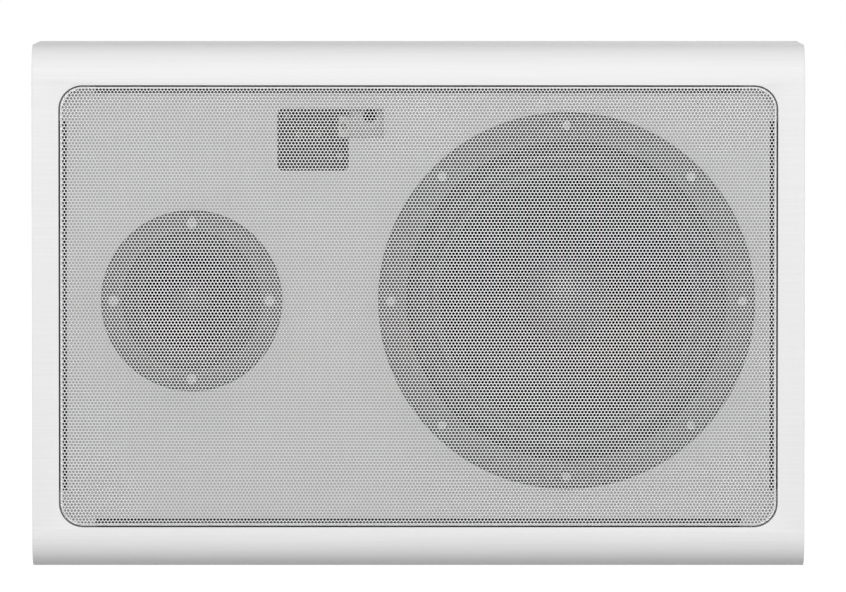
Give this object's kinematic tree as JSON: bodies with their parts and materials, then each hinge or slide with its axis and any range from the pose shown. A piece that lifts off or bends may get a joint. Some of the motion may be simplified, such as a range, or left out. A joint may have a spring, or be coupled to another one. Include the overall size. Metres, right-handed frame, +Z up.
{
  "type": "wall speaker",
  "caption": "Two-way wall-hung loudspeaker in a shallow light-grey metal cabinet with curved upper and lower edges, a pull-off perforated grille, and a terminal tray behind it.",
  "frame": {"origin": "middle of the rear face that lies against the wall", "axes": "+X to the right as seen from the front, +Y into the wall, +Z up; the grille faces -Y"},
  "size_m": [0.448, 0.13, 0.303],
  "materials": {
    "cabinet_finish": "satin light grey-white with faint horizontal brushing",
    "plated_screws": "zinc plated",
    "baffle_paint": "fibreboard with light grey-white paint",
    "rear_board": "fibreboard with black paint",
    "plated_steel": "zinc plated pressed steel",
    "black_screws": "blackened steel",
    "black_plastic": "black extruded plastic",
    "wadding": "loose polyester wadding",
    "grille_paint": "satin light grey-white powder coat",
    "black_rubber": "black foam rubber",
    "tray_plastic": "dark moulded plastic",
    "terminal_metal": "nickel plated brass",
    "pale_nylon": "pale moulded nylon",
    "circuit_board": "green circuit board",
    "enamelled_copper": "enamelled copper windings",
    "film_capacitor": "yellow film tape",
    "cement_resistor": "pale ceramic",
    "lead_jacket": "soft red cable jacket",
    "driver_frame": "dark grey textured coat",
    "surround_rubber": "black rubber",
    "cone_paper": "dark coated pulp",
    "coil_former": "amber film",
    "spider_cloth": "impregnated woven cloth",
    "ferrite": "sintered ferrite",
    "tag_fibre": "pressed fibre with tinned tags",
    "driver_screws": "bright plated steel"
  },
  "bodies": {
    "cabinet": {"sleeve": "cabinet_finish", "end_cap_left": "cabinet_finish", "end_cap_right": "cabinet_finish", "end_cap_screws": "plated_screws", "baffle": "baffle_paint", "rear_panel": "rear_board", "hanger_plate_left": "plated_steel", "hanger_plate_right": "plated_steel", "hanger_screws": "black_screws", "cable_tube": "black_plastic", "damping_pad": "wadding", "grille_strips": "black_rubber", "input_tray": "tray_plastic", "tray_fixing_screws": "black_screws", "terminal_block": "black_plastic", "terminal_screws": "terminal_metal", "cable_clamp": "pale_nylon", "clamp_screw": "plated_screws", "board_screws": "plated_screws", "board_spacers": "pale_nylon", "board_nuts": "plated_screws", "crossover_board": "circuit_board", "inductor_large": "enamelled_copper", "inductor_small": "enamelled_copper", "capacitors": "film_capacitor", "resistor": "cement_resistor", "input_leads": "lead_jacket", "woofer_lead": "lead_jacket", "mid_lead": "lead_jacket", "woofer_frame": "driver_frame", "woofer_gasket": "black_rubber", "woofer_surround": "surround_rubber", "woofer_spider": "spider_cloth", "woofer_top_plate": "plated_steel", "woofer_magnet": "ferrite", "woofer_yoke": "plated_steel", "woofer_terminals": "tag_fibre", "woofer_screws": "driver_screws", "mid_frame": "driver_frame", "mid_surround": "surround_rubber", "mid_spider": "spider_cloth", "mid_top_plate": "plated_steel", "mid_magnet": "ferrite", "mid_yoke": "plated_steel", "mid_terminals": "tag_fibre", "mid_screws": "driver_screws", "mid_chamber": "black_plastic", "chamber_screws": "black_screws"},
    "grille_panel": {"grille": "grille_paint"},
    "woofer_moving": {"woofer_cone": "cone_paper", "woofer_dust_cap": "cone_paper", "woofer_former": "coil_former", "woofer_voice_coil": "enamelled_copper"},
    "mid_moving": {"mid_cone": "cone_paper", "mid_dust_cap": "cone_paper", "mid_former": "coil_former", "mid_voice_coil": "enamelled_copper"}
  },
  "joints": [
    {"name": "grille_pull", "type": "slide", "parent": "cabinet", "child": "grille_panel", "axis": [0, -1, 0], "range_m": [0, 0.03]},
    {"name": "woofer_stroke", "type": "slide", "parent": "cabinet", "child": "woofer_moving", "axis": [0, -1, 0], "range_m": [-0.004, 0.004], "stiffness_N_per_m": 1500, "deforming": ["woofer_surround", "woofer_spider"]},
    {"name": "mid_stroke", "type": "slide", "parent": "cabinet", "child": "mid_moving", "axis": [0, -1, 0], "range_m": [-0.0015, 0.0015], "stiffness_N_per_m": 1500, "deforming": ["mid_surround", "mid_spider"]}
  ]
}
